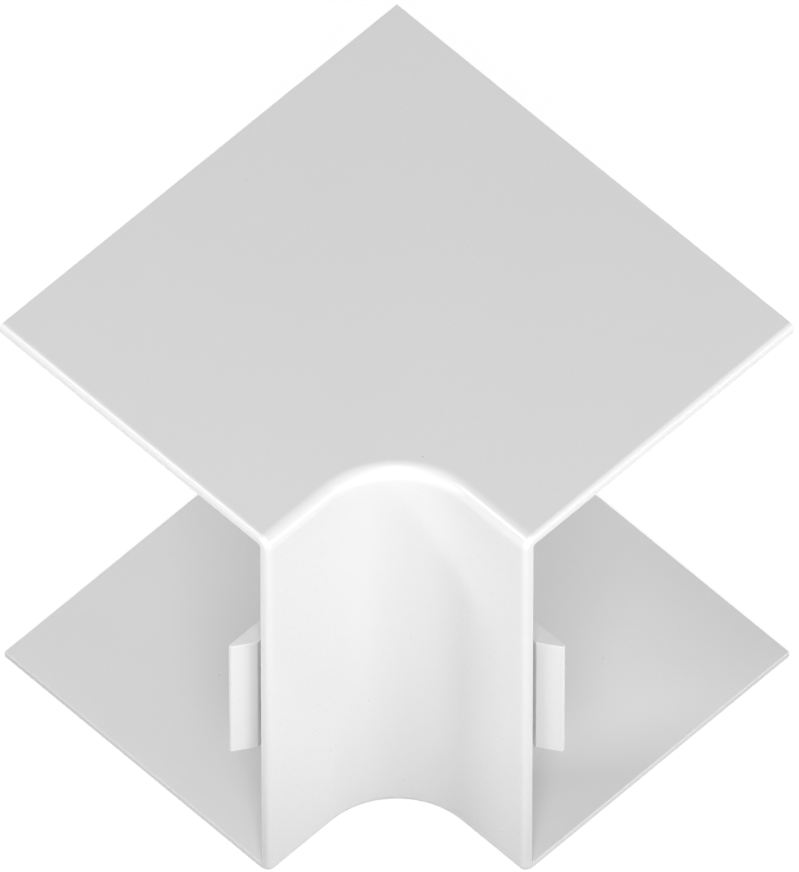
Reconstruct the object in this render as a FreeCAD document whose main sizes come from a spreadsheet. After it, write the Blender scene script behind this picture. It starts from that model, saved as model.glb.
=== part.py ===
"""Internal corner cover for wall trunking, moulded in one piece.

+Z runs along the room's corner, and the origin is where the two wall planes meet, at the
underside of the cover. The walls are the planes x = 0 and y = 0, the legs of the cover run
along +X and +Y, and all sizes are in millimetres.
"""
import FreeCAD, Part
import math
import os
import Sketcher

NODE = "corner_cover"
TOLERANCE = 1e-6

# Sizes that can be set by themselves: name, value and meaning
DRIVING = (
    ("trunking_width", 90.0, "trunking, along the room's corner"),
    ("trunking_depth", 60.0, "trunking with its lid on, out from the wall"),
    ("side_clearance", 0.2, "room between a side of the trunking and a plate"),
    ("wall", 2.0, "thickness of the plates and of the front wall"),
    ("bend_radius", 15.0, "concave bend of the front wall, on its room side"),
    ("end_straight", 14.4, "flat front wall from the bend to each open end"),
    ("inner_radius", 0.6, "fillet between the front wall and the plates, inside"),
    ("rim_radius", 1.1, "rounding of the outer edge round each open end"),
    ("lid_thickness", 1.6, "trunking lid held between a tongue and the front wall"),
    ("lid_clearance", 0.2, "room for the lid in its slot"),
    ("slot_depth", 11.0, "how far the lid slips in past the open end"),
    ("tongue_height", 29.7, "tongue, along the room's corner"),
    ("tongue_thickness", 3.0, "tongue, out from the wall"),
    ("tongue_reach", 2.6, "tip of a tongue past the open end"),
    ("tip_thickness", 0.6, "blunt tip of a tongue"),
    ("ramp_inset", 1.1, "start of the lead-in ramp, back from the open end"),
    ("root_thickness", 2.5, "web that joins a tongue to the front wall"),
    ("root_radius", 0.8, "rounding of the web's free corner"),
    ("tongue_radius", 0.2, "rounding of a tongue's tip and ramp"),
)

# Sizes that follow from them: name, formula and meaning
DERIVED = (
    ("height", "=trunking_width + 2 * side_clearance + 2 * wall", "over both plates"),
    ("depth", "=trunking_depth + wall", "room side of the front wall, out from the wall"),
    ("leg_length", "=depth + bend_radius + end_straight", "end of a leg, from the corner"),
    ("overrun", "=wall", "how far the cutting outline runs past the open sides"),
    ("outer_radius", "=inner_radius + wall", "keeps the wall's thickness round the edge"),
    ("rim_rounding", "=min(rim_radius; 3 / 4 * wall)", "limited by the wall"),
    ("slot_face", "=trunking_depth - lid_thickness - lid_clearance", "lid side of a tongue"),
    ("tongue_back", "=slot_face - tongue_thickness", "inner side of a tongue"),
    ("web_side", "=depth - wall / 2", "end of the web, inside the front wall"),
    ("root_end", "=leg_length - slot_depth", "inner end of the lid slot"),
    ("root_back", "=root_end - root_thickness", "inner end of the web"),
    ("tip_end", "=leg_length + tongue_reach", "tip of a tongue, from the corner"),
    ("tip_front", "=tongue_back + tip_thickness", "lid side of the tip"),
    ("ramp_start", "=leg_length - ramp_inset", "inner end of the ramp"),
    ("tongue_rounding", "=min(tongue_radius; tip_thickness / 3)", "limited by the tip"),
    ("root_rounding", "=min(root_radius; root_thickness / 2)", "limited by the web"),
)


def make_sheet(doc):
    """Spreadsheet that holds every size under its own name."""
    sheet = doc.addObject("Spreadsheet::Sheet", "Sizes")
    for row, (name, content, meaning) in enumerate(DRIVING + DERIVED, start=1):
        sheet.set(f"A{row}", name)
        sheet.set(f"B{row}", str(content))
        sheet.set(f"C{row}", meaning)
        sheet.setAlias(f"B{row}", name)
    doc.recompute()
    return sheet


def origin_plane(body, role):
    """One of the body's own origin planes."""
    return next(item for item in body.Origin.OriginFeatures if item.Role == role)


def plan_sketch(body, name, level=None):
    """Empty sketch seen from above, at a level that the sheet gives."""
    sketch = body.newObject("Sketcher::SketchObject", name)
    sketch.AttachmentSupport = (origin_plane(body, "XY_Plane"), "")
    sketch.MapMode = "FlatFace"
    if level:
        sketch.setExpression(".AttachmentOffset.Base.z", level)
    return sketch


def add_lines(sketch, points):
    """Straight lines from point to point, each level or upright where it is drawn so."""
    lines = []
    for start, end in zip(points, points[1:]):
        line = sketch.addGeometry(Part.LineSegment(start, end), False)
        if math.isclose(start.y, end.y):
            sketch.addConstraint(Sketcher.Constraint("Horizontal", line))
        elif math.isclose(start.x, end.x):
            sketch.addConstraint(Sketcher.Constraint("Vertical", line))
        if lines:
            sketch.addConstraint(Sketcher.Constraint("Coincident", lines[-1], 2, line, 1))
        lines.append(line)
    return lines


def bind(sketch, name, formula, kind, *where):
    """Add a named dimension to a sketch and tie it to the sheet."""
    value = float(sketch.evalExpression(formula))
    index = sketch.addConstraint(Sketcher.Constraint(kind, *where, value))
    sketch.renameConstraint(index, name)
    sketch.setExpression(f"Constraints.{name}", formula)


def bent_plan(body, name, level, behind, reach, front, radius):
    """Plan of two legs round the corner, with the concave bend between their fronts.

    The last four are formulas: how far the plan lies behind the wall planes, where the legs
    end, where their fronts lie, and the radius of the bend.
    """
    sketch = plan_sketch(body, name, level)
    back, far, near, bend = (float(sketch.evalExpression(formula))
                             for formula in (behind, reach, front, radius))
    centre = near + bend
    at = FreeCAD.Vector
    front_y, end_y, back_y, back_x, end_x, front_x = add_lines(sketch, (
        at(near, centre), at(near, far), at(-back, far), at(-back, -back),
        at(far, -back), at(far, near), at(centre, near)))
    circle = Part.Circle(at(centre, centre), at(0, 0, 1), bend)
    arc = sketch.addGeometry(Part.ArcOfCircle(circle, math.pi, 1.5 * math.pi), False)
    sketch.addConstraint(Sketcher.Constraint("Tangent", front_x, 2, arc, 2))
    sketch.addConstraint(Sketcher.Constraint("Tangent", arc, 1, front_y, 1))
    bind(sketch, "behind_x", behind, "DistanceX", back_y, 2, -1, 1)
    bind(sketch, "behind_y", behind, "DistanceY", back_y, 2, -1, 1)
    bind(sketch, "reach_x", reach, "DistanceX", -1, 1, end_x, 1)
    bind(sketch, "reach_y", reach, "DistanceY", -1, 1, end_y, 1)
    bind(sketch, "front_x", front, "DistanceX", -1, 1, front_y, 1)
    bind(sketch, "front_y", front, "DistanceY", -1, 1, front_x, 2)
    bind(sketch, "bend_radius", radius, "Radius", arc)
    return sketch


def tongue_plan(body, sheet):
    """Plan of one tongue: the web into the front wall, the lid slot, the ramp and the tip."""
    sketch = plan_sketch(body, "tongue_plan", "Sizes.height / 2")
    at = FreeCAD.Vector
    points = (
        at(sheet.root_back, sheet.tongue_back),
        at(sheet.tip_end, sheet.tongue_back),
        at(sheet.tip_end, sheet.tip_front),
        at(sheet.ramp_start, sheet.slot_face),
        at(sheet.root_end, sheet.slot_face),
        at(sheet.root_end, sheet.web_side),
        at(sheet.root_back, sheet.web_side),
    )
    inner, tip, ramp, lid_side, slot_end, in_wall, web = add_lines(sketch, points + points[:1])
    sketch.addConstraint(Sketcher.Constraint("Coincident", web, 2, inner, 1))
    bind(sketch, "root_back", "Sizes.root_back", "DistanceX", -1, 1, web, 1)
    bind(sketch, "tongue_back", "Sizes.tongue_back", "DistanceY", -1, 1, inner, 1)
    bind(sketch, "tip_end", "Sizes.tip_end", "DistanceX", -1, 1, tip, 1)
    bind(sketch, "tip_front", "Sizes.tip_front", "DistanceY", -1, 1, ramp, 1)
    bind(sketch, "ramp_start", "Sizes.ramp_start", "DistanceX", -1, 1, ramp, 2)
    bind(sketch, "slot_face", "Sizes.slot_face", "DistanceY", -1, 1, lid_side, 2)
    bind(sketch, "root_end", "Sizes.root_end", "DistanceX", -1, 1, slot_end, 1)
    bind(sketch, "web_side", "Sizes.web_side", "DistanceY", -1, 1, in_wall, 1)
    return sketch


def add_prism(doc, body, kind, name, sketch, formula, **settings):
    """Pad or pocket of a sketch, with its length tied to the sheet."""
    feature = body.newObject(kind, name)
    feature.Profile = sketch
    for key, value in settings.items():
        setattr(feature, key, value)
    feature.setExpression("Length", formula)
    doc.recompute()
    return feature


def add_rounding(doc, body, name, base, chosen, formula):
    """Rounding on the edges of a feature that a test picks out by their place."""
    edges = [f"Edge{number}" for number, edge in enumerate(base.Shape.Edges, start=1)
             if chosen(edge)]
    if not edges:
        raise RuntimeError(f"{name}: no edge to round")
    feature = body.newObject("PartDesign::Fillet", name)
    feature.Base = (base, edges)
    feature.setExpression("Radius", formula)
    doc.recompute()
    return feature


def same(one, other):
    """True where two places or sizes agree."""
    return math.isclose(one, other, abs_tol=TOLERANCE)


def lies_at(edge, axis, *places):
    """True where a whole edge lies at one of the places along an axis."""
    along = [getattr(vertex.Point, axis) for vertex in edge.Vertexes]
    return any(all(same(value, place) for value in along) for place in places)


def stands_at(edge, x, y):
    """True for an upright edge at a place of the plan, or at its mirror image."""
    return (lies_at(edge, "x", x) and lies_at(edge, "y", y)
            or lies_at(edge, "x", y) and lies_at(edge, "y", x))


def follows_front(edge, front, *levels):
    """True for an edge at one of the levels that runs along the front wall, bend included."""
    return lies_at(edge, "z", *levels) and (
        isinstance(edge.Curve, Part.Circle)
        or lies_at(edge, "x", front) or lies_at(edge, "y", front))


def on_rim(edge, sheet):
    """True for the outer edges of the two open ends, which run over the rounded corners."""
    if not (lies_at(edge, "x", sheet.leg_length) or lies_at(edge, "y", sheet.leg_length)):
        return False
    if isinstance(edge.Curve, Part.Circle):
        return same(edge.Curve.Radius, sheet.outer_radius)
    return (lies_at(edge, "z", 0, sheet.height)
            or lies_at(edge, "x", sheet.depth) or lies_at(edge, "y", sheet.depth))


def build_shell(doc, body, sheet):
    """Plates and bent front wall, with their roundings."""
    outline = bent_plan(body, "outline", None, "0", "Sizes.leg_length", "Sizes.depth",
                        "Sizes.bend_radius")
    block = add_prism(doc, body, "PartDesign::Pad", "block", outline, "Sizes.height")

    # The space for the trunking is open to both walls and at both ends
    space = bent_plan(body, "space_plan", "Sizes.wall", "Sizes.overrun",
                      "Sizes.leg_length + Sizes.overrun", "Sizes.depth - Sizes.wall",
                      "Sizes.bend_radius + Sizes.wall")
    shell = add_prism(doc, body, "PartDesign::Pocket", "trunking_space", space,
                      "Sizes.height - 2 * Sizes.wall", Reversed=True)
    if not any(same(vertex.Z, sheet.height - sheet.wall) for vertex in shell.Shape.Vertexes):
        raise RuntimeError("the trunking space doesn't reach the upper plate")

    outside = add_rounding(
        doc, body, "outer_rounding", shell,
        lambda edge: follows_front(edge, sheet.depth, 0, sheet.height), "Sizes.outer_radius")
    inside = add_rounding(
        doc, body, "inner_fillet", outside,
        lambda edge: follows_front(edge, sheet.depth - sheet.wall, sheet.wall,
                                   sheet.height - sheet.wall), "Sizes.inner_radius")
    return add_rounding(doc, body, "rim_rounding", inside, lambda edge: on_rim(edge, sheet),
                        "Sizes.rim_rounding")


def build_tongues(doc, body, sheet, shell):
    """Tongue on the X leg, its mirror image on the Y leg, and their roundings."""
    tongue = add_prism(doc, body, "PartDesign::Pad", "tongue", tongue_plan(body, sheet),
                       "Sizes.tongue_height", Midplane=True)
    diagonal = body.newObject("PartDesign::Plane", "diagonal_plane")
    diagonal.AttachmentSupport = (origin_plane(body, "XZ_Plane"), "")
    diagonal.MapMode = "FlatFace"
    half_corner = FreeCAD.Rotation(FreeCAD.Vector(0, 1, 0), 45)
    diagonal.AttachmentOffset = FreeCAD.Placement(FreeCAD.Vector(), half_corner)
    pair = body.newObject("PartDesign::Mirrored", "tongue_pair")
    pair.Originals = [tongue]
    pair.MirrorPlane = (diagonal, [""])
    body.Tip = pair
    doc.recompute()
    volume = shell.Shape.Volume
    if not same((pair.Shape.Volume - volume) / (tongue.Shape.Volume - volume), 2):
        raise RuntimeError("the second tongue is missing")

    root = add_rounding(
        doc, body, "root_rounding", pair,
        lambda edge: stands_at(edge, sheet.root_back, sheet.tongue_back), "Sizes.root_rounding")
    corners = ((sheet.tip_end, sheet.tongue_back), (sheet.tip_end, sheet.tip_front),
               (sheet.ramp_start, sheet.slot_face))
    return add_rounding(
        doc, body, "tongue_rounding", root,
        lambda edge: any(stands_at(edge, *corner) for corner in corners),
        "Sizes.tongue_rounding")


def check_model(doc, body):
    """Stop if any object failed or the cover isn't one sound solid."""
    for item in doc.Objects:
        if "Invalid" in item.State or "Error" in item.State:
            raise RuntimeError(f"{item.Name} failed: {item.State}")
        if item.isDerivedFrom("Sketcher::SketchObject") and not item.FullyConstrained:
            raise RuntimeError(f"{item.Name} is not fully constrained")
    shape = body.Shape
    if shape.isNull() or not shape.isValid() or len(shape.Solids) != 1:
        raise RuntimeError("the cover is not one valid solid")


doc = FreeCAD.newDocument("trunking_internal_corner")
sheet = make_sheet(doc)
cover = doc.addObject("PartDesign::Body", "CornerCover")
cover.Label = NODE
build_tongues(doc, cover, sheet, build_shell(doc, cover, sheet))
doc.recompute()
check_model(doc, cover)
os.makedirs("parts", exist_ok=True)
cover.Shape.exportStep(f"parts/{cover.Label}.step")
print(f"{cover.Label}: leg {sheet.leg_length:.2f} mm, height {sheet.height:.2f} mm,"
      f" {cover.Shape.Volume / 1000:.2f} cm3, {len(cover.Shape.Faces)} faces")
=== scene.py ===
"""Looks of the trunking internal corner: moulded shell, satin white plastic and a plain studio.

Sizes are in metres, in the part's own frame: the walls are the planes x = 0 and y = 0, the legs
run along +X and +Y, and +Z runs up along the room's corner.
"""
import math

import bmesh
import bpy
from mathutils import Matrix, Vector


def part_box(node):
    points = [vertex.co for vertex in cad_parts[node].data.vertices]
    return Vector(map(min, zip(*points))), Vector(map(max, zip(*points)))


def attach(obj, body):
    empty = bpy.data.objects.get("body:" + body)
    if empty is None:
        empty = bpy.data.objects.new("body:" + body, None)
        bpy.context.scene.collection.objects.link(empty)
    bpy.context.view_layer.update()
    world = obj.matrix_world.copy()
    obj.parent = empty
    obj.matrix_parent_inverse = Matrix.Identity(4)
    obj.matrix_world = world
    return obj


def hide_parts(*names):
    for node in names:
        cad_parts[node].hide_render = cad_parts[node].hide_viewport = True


MM = 0.001
COVER = "corner_cover"
QUARTER = math.pi / 2

# The moulding, as the solid has it
WALL = 2.0 * MM
BEND_RADIUS = 15.0 * MM
END_STRAIGHT = 14.4 * MM
OUTER_RADIUS = 2.6 * MM
INNER_RADIUS = 0.6 * MM
RIM_RADIUS = 1.1 * MM
SLOT_WIDTH = 1.8 * MM
SLOT_DEPTH = 11.0 * MM
TONGUE_REACH = 2.6 * MM
TONGUE_HEIGHT = 29.7 * MM
TONGUE_THICKNESS = 3.0 * MM
TIP_THICKNESS = 0.6 * MM
RAMP_INSET = 1.1 * MM
ROOT_THICKNESS = 2.5 * MM
ROOT_RADIUS = 0.8 * MM
TONGUE_RADIUS = 0.2 * MM

# What a mould leaves on every edge that looks sharp
EDGE_BREAK = 0.15 * MM

# How finely the rounded stretches are divided
BEND_STEPS = 60
OUTER_STEPS = 14
INNER_STEPS = 5
ROOT_STEPS = 8
RIM_STEPS = 9
BREAK_STEPS = 3
SHARP_ANGLE = math.radians(40)

# The photograph's view: a near parallel one, down over the front of the bend. The picture's middle
# is in line with AIM, and its scale is true at SCALE_PLANE in front of that. The view begins at
# CLIP_SHARE of the camera's distance.
IMAGE_HEIGHT = 872
PIXELS_PER_METRE = 6120
AZIMUTH = math.radians(135)
ELEVATION = math.radians(54.58)
LENS_MM = 1550
SENSOR_MM = 36
AIM = Vector((8.9, 9.5, -9.26)) * MM
SCALE_PLANE = 84.7 * MM
CLIP_SHARE = 0.1

# The plastic, with clouds in its shade, grain in its gloss and ripples in its flats
PLASTIC_GREY = 0.8
PLASTIC_IOR = 1.5
ROUGHNESS = 0.3
ROUGHNESS_SPREAD = 0.03
CLOUD_SIZE = 20 * MM
CLOUD_DETAIL = 2
CLOUD_SHADE = 0.003
GRAIN_SIZE = 0.3 * MM
GRAIN_DETAIL = 3
GRAIN_DEPTH = 0.002 * MM
RIPPLE_SIZE = 9 * MM
RIPPLE_DETAIL = 1
RIPPLE_DEPTH = 0.015 * MM

# Dark specks, each even in its core and fading out to its radius
SPECK_SPACING = 6 * MM
SPECK_RADIUS = 0.13 * MM
SPECK_CORE = 0.6
SPECK_GREY = 0.3
SPECK_STRENGTH = 0.6

# Nearly all of a noise pattern lies between these values
NOISE_LOW = 0.3
NOISE_HIGH = 0.7

# The studio: lengths in metres, and levels of light and colour, where WHITE shows as white
WHITE = 1.0
WORLD_LIGHT = 0.11
FLOOR_HALF = 60
FLOOR_GREY = 0.2
FLOOR_LIFT = 0.88
LAMP_DISTANCE = 1.5
LAMP_AIM = Vector((50, 50, 50)) * MM

# Each lamp's name, azimuth and elevation in degrees, size in metres and power in watts
SOFTBOXES = (
    ("front", 135, 45, 0.4, 6.9),
    ("high_front", 135, 60, 0.6, 3.2),
    ("low_front", 170, 3, 0.6, 4.3),
    ("right", 185, 15, 0.6, 7.2),
    ("low_right", 205, 12, 0.3, 1.4),
    ("behind", 270, 15, 0.6, 5.5),
    ("high_left", 57, 42, 0.25, 4.8),
    ("left", 85, 15, 0.6, 5.5),
)

# Painted bounce light: the floor glows for the rays that light the cover, by distance in
# millimetres from the cover's middle: dull under the cover and next to it as painted shade, bright
# just beyond, dull again, and brightest from 0.5 m on
PAINTED_BOUNCE_MIDDLE = Vector((50, 50, 0)) * MM
PAINTED_BOUNCE = (
    (0, 0.14), (50, 0.14), (60, 0), (85, 0), (95, 0.68), (170, 0.68), (190, 0.1), (490, 0.1),
    (510, 1.45))


def rounding(before, corner, after, radius, steps):
    """Points of the arc that rounds a corner of an outline, between the corners beside it."""
    back, ahead = (before - corner).normalized(), (after - corner).normalized()
    half = back.angle(ahead) / 2
    centre = corner + (back + ahead).normalized() * (radius / math.sin(half))
    start = corner + back * (radius / math.tan(half)) - centre
    sweep = math.copysign(math.pi - 2 * half, ahead.cross(back))
    turns = [sweep * step / steps for step in range(steps + 1)]
    return [centre + Vector((start.x * math.cos(turn) - start.y * math.sin(turn),
                             start.x * math.sin(turn) + start.y * math.cos(turn)))
            for turn in turns]


def crossing(start_a, along_a, start_b, along_b):
    """Where two straight lines of a plane cross."""
    return start_a + along_a * ((start_b - start_a).cross(along_b) / along_a.cross(along_b))


def outline(corners, insets):
    """Closed outline with rounded corners, each side moved in by an inset of its own.

    A corner is (x, y, radius, steps), anticlockwise, and sharp where it has no steps. An inset
    belongs to the side that leaves its corner. Between two sides with one inset a rounding keeps
    its centre, but an edge break keeps its radius.
    """
    places = [Vector(corner[:2]) for corner in corners]
    sides = []
    for place, following, inset in zip(places, places[1:] + places[:1], insets):
        along = (following - place).normalized()
        sides.append((place + Vector((-along.y, along.x)) * inset, along))
    moved = [crossing(*sides[index - 1], *sides[index]) for index in range(len(sides))]
    points = []
    for index, (_, _, radius, steps) in enumerate(corners):
        if steps == 0:
            points.append(moved[index])
            continue
        if insets[index - 1] == insets[index] and radius > EDGE_BREAK:
            turn = sides[index - 1][1].cross(sides[index][1])
            radius -= math.copysign(insets[index], turn)
        following = moved[(index + 1) % len(moved)]
        points += rounding(moved[index - 1], moved[index], following, radius, steps)
    return points


def inset_at(distance, radius):
    """How far a rounded edge has moved in, at a distance from the face where it ends."""
    return radius - math.sqrt(radius ** 2 - (radius - min(distance, radius)) ** 2)


def round_steps(radius, steps):
    """Distances from the end face at which a rounded edge is cut, the end face first."""
    return [radius * (1 - math.cos(QUARTER * step / steps)) for step in range(steps + 1)]


def channel_section(depth, height, outer_inset, inner_inset):
    """Cut across a leg: x is how far behind the front wall's face, y is the height."""
    outer = (OUTER_RADIUS, OUTER_STEPS)
    inner = (INNER_RADIUS, INNER_STEPS)
    edge = (EDGE_BREAK, BREAK_STEPS)
    corners = (
        (0, 0, *outer), (depth, 0, *edge), (depth, WALL, *edge), (WALL, WALL, *inner),
        (WALL, height - WALL, *inner), (depth, height - WALL, *edge), (depth, height, *edge),
        (0, height, *outer))
    return outline(corners, (outer_inset, *(inner_inset,) * 5, outer_inset, outer_inset))


def stations(leg, centre):
    """Cuts from the end of the X leg, round the bend, to the end of the Y leg.

    Each is (x, y, direction to the walls, outer inset, inner inset). Its place is on the line
    round which the front wall bends.
    """
    distances = sorted(set(round_steps(RIM_RADIUS, RIM_STEPS)
                           + round_steps(EDGE_BREAK, BREAK_STEPS)))
    insets = [(distance, inset_at(distance, RIM_RADIUS), inset_at(distance, EDGE_BREAK))
              for distance in distances]
    x_end = [(leg - distance, centre, -QUARTER, *pair) for distance, *pair in insets]
    bend = [(centre, centre, -QUARTER * (1 + step / BEND_STEPS), 0, 0)
            for step in range(BEND_STEPS + 1)]
    y_end = [(centre, leg - distance, -2 * QUARTER, *pair) for distance, *pair in insets]
    return x_end + bend + y_end[::-1]


def add_skin(mesh, rings):
    """Closed skin over a row of outlines with equally many points, with a face at each end."""
    rings = [[mesh.verts.new(point) for point in ring] for ring in rings]
    for ring, following in zip(rings, rings[1:]):
        for index in range(len(ring)):
            mesh.faces.new((ring[index - 1], ring[index], following[index],
                            following[index - 1]))
    mesh.faces.new(rings[0])
    mesh.faces.new(rings[-1][::-1])


def add_shell(mesh, leg, depth, height):
    """Plates and bent front wall. Behind the bend, the plates reach on to the walls."""
    rings = []
    for x, y, angle, *insets in stations(leg, depth + BEND_RADIUS):
        to_walls = Vector((math.cos(angle), math.sin(angle)))
        stretch = 1 / max(abs(to_walls.x), abs(to_walls.y))
        ring = []
        for behind, level in channel_section(depth, height, *insets):
            reach = BEND_RADIUS + behind
            if behind > depth / 2:
                reach *= stretch
            ring.append((x + to_walls.x * reach, y + to_walls.y * reach, level))
        rings.append(ring)
    add_skin(mesh, rings)


def add_tongue(mesh, leg, depth, height, mirrored):
    """Tongue of the X leg, or its mirror image on the Y leg, with its web inside the front wall."""
    slot_face = depth - WALL - SLOT_WIDTH
    back = slot_face - TONGUE_THICKNESS
    in_wall = depth - WALL / 2
    web = leg - SLOT_DEPTH
    edge = (TONGUE_RADIUS, BREAK_STEPS)
    corners = (
        (web - ROOT_THICKNESS, back, ROOT_RADIUS, ROOT_STEPS),
        (leg + TONGUE_REACH, back, *edge), (leg + TONGUE_REACH, back + TIP_THICKNESS, *edge),
        (leg - RAMP_INSET, slot_face, *edge), (web, slot_face, *edge),
        (web, in_wall, 0, 0), (web - ROOT_THICKNESS, in_wall, 0, 0))
    plans = []
    for distance in round_steps(EDGE_BREAK, BREAK_STEPS):
        inset = inset_at(distance, EDGE_BREAK)
        plans.append((distance, outline(corners, (*(inset,) * 5, 0, inset))))
    rings = []
    for side, order in ((1, plans), (-1, plans[::-1])):
        for distance, plan in order:
            z = height / 2 + side * (TONGUE_HEIGHT / 2 - distance)
            rings.append([(y, x, z) if mirrored else (x, y, z) for x, y in plan])
    add_skin(mesh, rings)


def make_object(name, mesh):
    """Scene object of a finished mesh, with its faces turned outward."""
    bmesh.ops.recalc_face_normals(mesh, faces=mesh.faces)
    data = bpy.data.meshes.new(name)
    mesh.to_mesh(data)
    mesh.free()
    made = bpy.data.objects.new(name, data)
    bpy.context.scene.collection.objects.link(made)
    return made


def make_cover(leg, depth, height):
    """The whole moulding as one closed mesh."""
    mesh = bmesh.new()
    add_shell(mesh, leg, depth, height)
    cover = make_object("cover_shell", mesh)
    for mirrored in (False, True):
        mesh = bmesh.new()
        add_tongue(mesh, leg, depth, height, mirrored)
        tongue = make_object("tongue", mesh)
        union = cover.modifiers.new("tongue", "BOOLEAN")
        union.operation, union.solver, union.object = "UNION", "EXACT", tongue
        joined = bpy.data.meshes.new_from_object(
            cover.evaluated_get(bpy.context.evaluated_depsgraph_get()))
        cover.modifiers.clear()
        cover.data = joined
        bpy.data.objects.remove(tongue)
    return cover


def smooth_shading(cover):
    """Soft normals over the roundings, with the flats left flat and true creases kept."""
    mesh = bmesh.new()
    mesh.from_mesh(cover.data)
    for face in mesh.faces:
        face.smooth = True
    for edge in mesh.edges:
        edge.smooth = edge.calc_face_angle() < SHARP_ANGLE
    mesh.to_mesh(cover.data)
    mesh.free()
    weighted = cover.modifiers.new("normals", "WEIGHTED_NORMAL")
    weighted.keep_sharp = True


def add_node(tree, kind, inputs=(), **settings):
    """Shader node with its settings, and its inputs set to values or linked to sockets."""
    node = tree.nodes.new(kind)
    for name, value in settings.items():
        setattr(node, name, value)
    for name, value in dict(inputs).items():
        if isinstance(value, bpy.types.NodeSocket):
            tree.links.new(value, node.inputs[name])
        else:
            node.inputs[name].default_value = value
    return node


def grey(value):
    """Neutral colour of one brightness."""
    return (value, value, value, 1)


def mapped(tree, value, low_in, high_in, low_out, high_out):
    """A value carried from one range to another, and held at its ends."""
    node = add_node(tree, "ShaderNodeMapRange", {
        "Value": value, "From Min": low_in, "From Max": high_in,
        "To Min": low_out, "To Max": high_out})
    return node.outputs["Result"]


def noise(tree, place, size, detail):
    """Soft noise with features of about one size."""
    node = add_node(tree, "ShaderNodeTexNoise", {
        "Vector": place, "Scale": 1 / size, "Detail": detail})
    return node.outputs["Fac"]


def varied(tree, pattern, middle, spread):
    """A value that follows a noise pattern, by one spread to either side of its middle."""
    return mapped(tree, pattern, NOISE_LOW, NOISE_HIGH, middle - spread, middle + spread)


def white_plastic():
    """Satin white PVC: faint grain from the mould, slow ripples, a few tiny dark specks."""
    material = bpy.data.materials.new("white_plastic")
    material.use_nodes = True
    tree = material.node_tree
    tree.nodes.clear()
    place = add_node(tree, "ShaderNodeTexCoord").outputs["Object"]

    cloud = noise(tree, place, CLOUD_SIZE, CLOUD_DETAIL)
    grain = noise(tree, place, GRAIN_SIZE, GRAIN_DETAIL)
    ripple = noise(tree, place, RIPPLE_SIZE, RIPPLE_DETAIL)

    shade = varied(tree, cloud, PLASTIC_GREY, CLOUD_SHADE)
    seeds = add_node(tree, "ShaderNodeTexVoronoi", {"Vector": place, "Scale": 1 / SPECK_SPACING})
    edge = SPECK_RADIUS / SPECK_SPACING
    speck = mapped(tree, seeds.outputs["Distance"], edge * SPECK_CORE, edge, SPECK_STRENGTH, 0)
    colour = add_node(tree, "ShaderNodeMix", {
        "Factor": speck, "A": shade, "B": grey(SPECK_GREY)}, data_type="RGBA")
    rough = varied(tree, grain, ROUGHNESS, ROUGHNESS_SPREAD)

    waves = add_node(tree, "ShaderNodeBump", {"Height": ripple, "Distance": RIPPLE_DEPTH})
    skin = add_node(tree, "ShaderNodeBump", {
        "Height": grain, "Distance": GRAIN_DEPTH, "Normal": waves.outputs["Normal"]})
    surface = add_node(tree, "ShaderNodeBsdfPrincipled", {
        "Base Color": colour.outputs["Result"], "Roughness": rough,
        "Normal": skin.outputs["Normal"], "IOR": PLASTIC_IOR})
    add_node(tree, "ShaderNodeOutputMaterial", {"Surface": surface.outputs["BSDF"]})
    return material


def seen_directly(tree):
    """1 for rays from the camera and for the reflections and clear views that they meet."""
    path = add_node(tree, "ShaderNodeLightPath")
    total = path.outputs["Is Camera Ray"]
    for other in ("Is Glossy Ray", "Is Transmission Ray"):
        total = add_node(tree, "ShaderNodeMath", {0: total, 1: path.outputs[other]},
                         operation="MAXIMUM").outputs["Value"]
    return total


def painted_bounce_at(tree):
    """Painted bounce light that the floor glows with, at each distance from the cover's middle,
    dull next to the cover as painted shade.
    """
    place = add_node(tree, "ShaderNodeNewGeometry").outputs["Position"]
    away = add_node(tree, "ShaderNodeVectorMath", {0: place, 1: PAINTED_BOUNCE_MIDDLE},
                    operation="DISTANCE").outputs["Value"]
    level = PAINTED_BOUNCE[0][1]
    for (near, dull), (far, bright) in zip(PAINTED_BOUNCE, PAINTED_BOUNCE[1:]):
        step = mapped(tree, away, near * MM, far * MM, 0, bright - dull)
        level = add_node(tree, "ShaderNodeMath", {0: step, 1: level},
                         operation="ADD").outputs["Value"]
    return level


def make_floor():
    """Wide pale floor that looks white and keeps the cover's shadow, and glows with painted bounce
    light toward the cover.
    """
    mesh = bmesh.new()
    bmesh.ops.create_grid(mesh, x_segments=1, y_segments=1, size=FLOOR_HALF)
    floor = make_object("floor", mesh)
    material = bpy.data.materials.new("pale_floor")
    material.use_nodes = True
    tree = material.node_tree
    tree.nodes.clear()
    matte = add_node(tree, "ShaderNodeBsdfDiffuse", {"Color": grey(FLOOR_GREY)})
    lift = add_node(tree, "ShaderNodeEmission", {"Color": grey(WHITE), "Strength": FLOOR_LIFT})
    lifted = add_node(tree, "ShaderNodeAddShader", {0: matte.outputs[0], 1: lift.outputs[0]})
    # Painted bounce light: a glow for the rays that light the cover, dull next to it as painted
    # shade
    painted_bounce_glow = add_node(tree, "ShaderNodeEmission", {
        "Color": grey(WHITE), "Strength": painted_bounce_at(tree)})
    shown = add_node(tree, "ShaderNodeMixShader", {
        0: seen_directly(tree), 1: painted_bounce_glow.outputs[0], 2: lifted.outputs[0]})
    add_node(tree, "ShaderNodeOutputMaterial", {"Surface": shown.outputs[0]})
    material.cycles.emission_sampling = "NONE"
    floor.data.materials.append(material)


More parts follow.
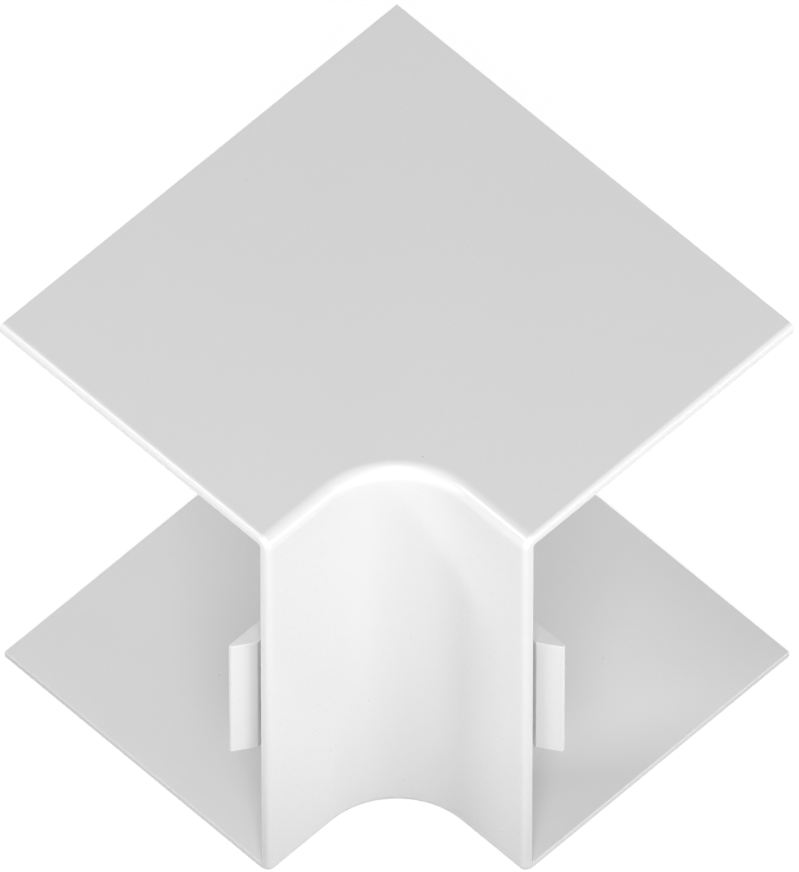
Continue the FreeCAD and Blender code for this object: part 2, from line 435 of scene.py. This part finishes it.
def make_world():
    """Even soft light from all round, seen as white."""
    world = bpy.data.worlds.new("studio")
    bpy.context.scene.world = world
    world.use_nodes = True
    tree = world.node_tree
    tree.nodes.clear()
    light = add_node(tree, "ShaderNodeBackground", {
        "Color": grey(WHITE), "Strength": WORLD_LIGHT})
    white = add_node(tree, "ShaderNodeBackground", {"Color": grey(WHITE), "Strength": WHITE})
    shown = add_node(tree, "ShaderNodeMixShader", {
        0: seen_directly(tree), 1: light.outputs[0], 2: white.outputs[0]})
    add_node(tree, "ShaderNodeOutputWorld", {"Surface": shown.outputs[0]})


def direction(azimuth, elevation):
    """Unit vector from the cover toward a place round it, with the azimuth as the camera has it."""
    return Vector((math.sin(azimuth) * math.cos(elevation),
                   -math.cos(azimuth) * math.cos(elevation), math.sin(elevation)))


def look_back(thing, toward):
    """Turn a lamp or camera so that it looks back along a direction, with its top up."""
    thing.rotation_mode = "QUATERNION"
    thing.rotation_quaternion = (-toward).to_track_quat("-Z", "Y")


def add_softbox(name, azimuth_deg, elevation_deg, size, power):
    """Large square lamp aimed at the cover, out of the camera's sight."""
    data = bpy.data.lights.new(name, "AREA")
    data.shape, data.size, data.energy = "SQUARE", size, power
    lamp = bpy.data.objects.new(name, data)
    bpy.context.scene.collection.objects.link(lamp)
    toward = direction(math.radians(azimuth_deg), math.radians(elevation_deg))
    lamp.location = LAMP_AIM + toward * LAMP_DISTANCE
    look_back(lamp, toward)
    lamp.visible_camera = False


def make_camera():
    """Very long lens from far off, which comes close to the photograph's parallel view."""
    data = bpy.data.cameras.new("camera")
    data.sensor_width, data.lens = SENSOR_MM, LENS_MM
    distance = LENS_MM / SENSOR_MM * IMAGE_HEIGHT / PIXELS_PER_METRE
    data.clip_start, data.clip_end = distance * CLIP_SHARE, distance + FLOOR_HALF
    camera = bpy.data.objects.new("camera", data)
    bpy.context.scene.collection.objects.link(camera)
    toward = direction(AZIMUTH, ELEVATION)
    camera.location = AIM + toward * (SCALE_PLANE + distance)
    look_back(camera, toward)
    bpy.context.scene.camera = camera


bpy.context.scene.view_settings.view_transform = "Standard"
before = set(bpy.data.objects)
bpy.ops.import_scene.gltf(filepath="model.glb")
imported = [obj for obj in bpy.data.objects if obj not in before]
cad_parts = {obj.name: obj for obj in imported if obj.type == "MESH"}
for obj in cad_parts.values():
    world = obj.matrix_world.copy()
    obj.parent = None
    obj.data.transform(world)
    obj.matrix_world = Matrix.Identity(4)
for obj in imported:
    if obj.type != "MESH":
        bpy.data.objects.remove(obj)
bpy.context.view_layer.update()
_, top_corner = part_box(COVER)
leg = top_corner.x - TONGUE_REACH
depth = leg - BEND_RADIUS - END_STRAIGHT
cover = make_cover(leg, depth, top_corner.z)
smooth_shading(cover)
cover.data.materials.clear()
cover.data.materials.append(white_plastic())
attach(cover, "root")
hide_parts(COVER)

make_floor()
make_world()
for softbox in SOFTBOXES:
    add_softbox(*softbox)
make_camera()
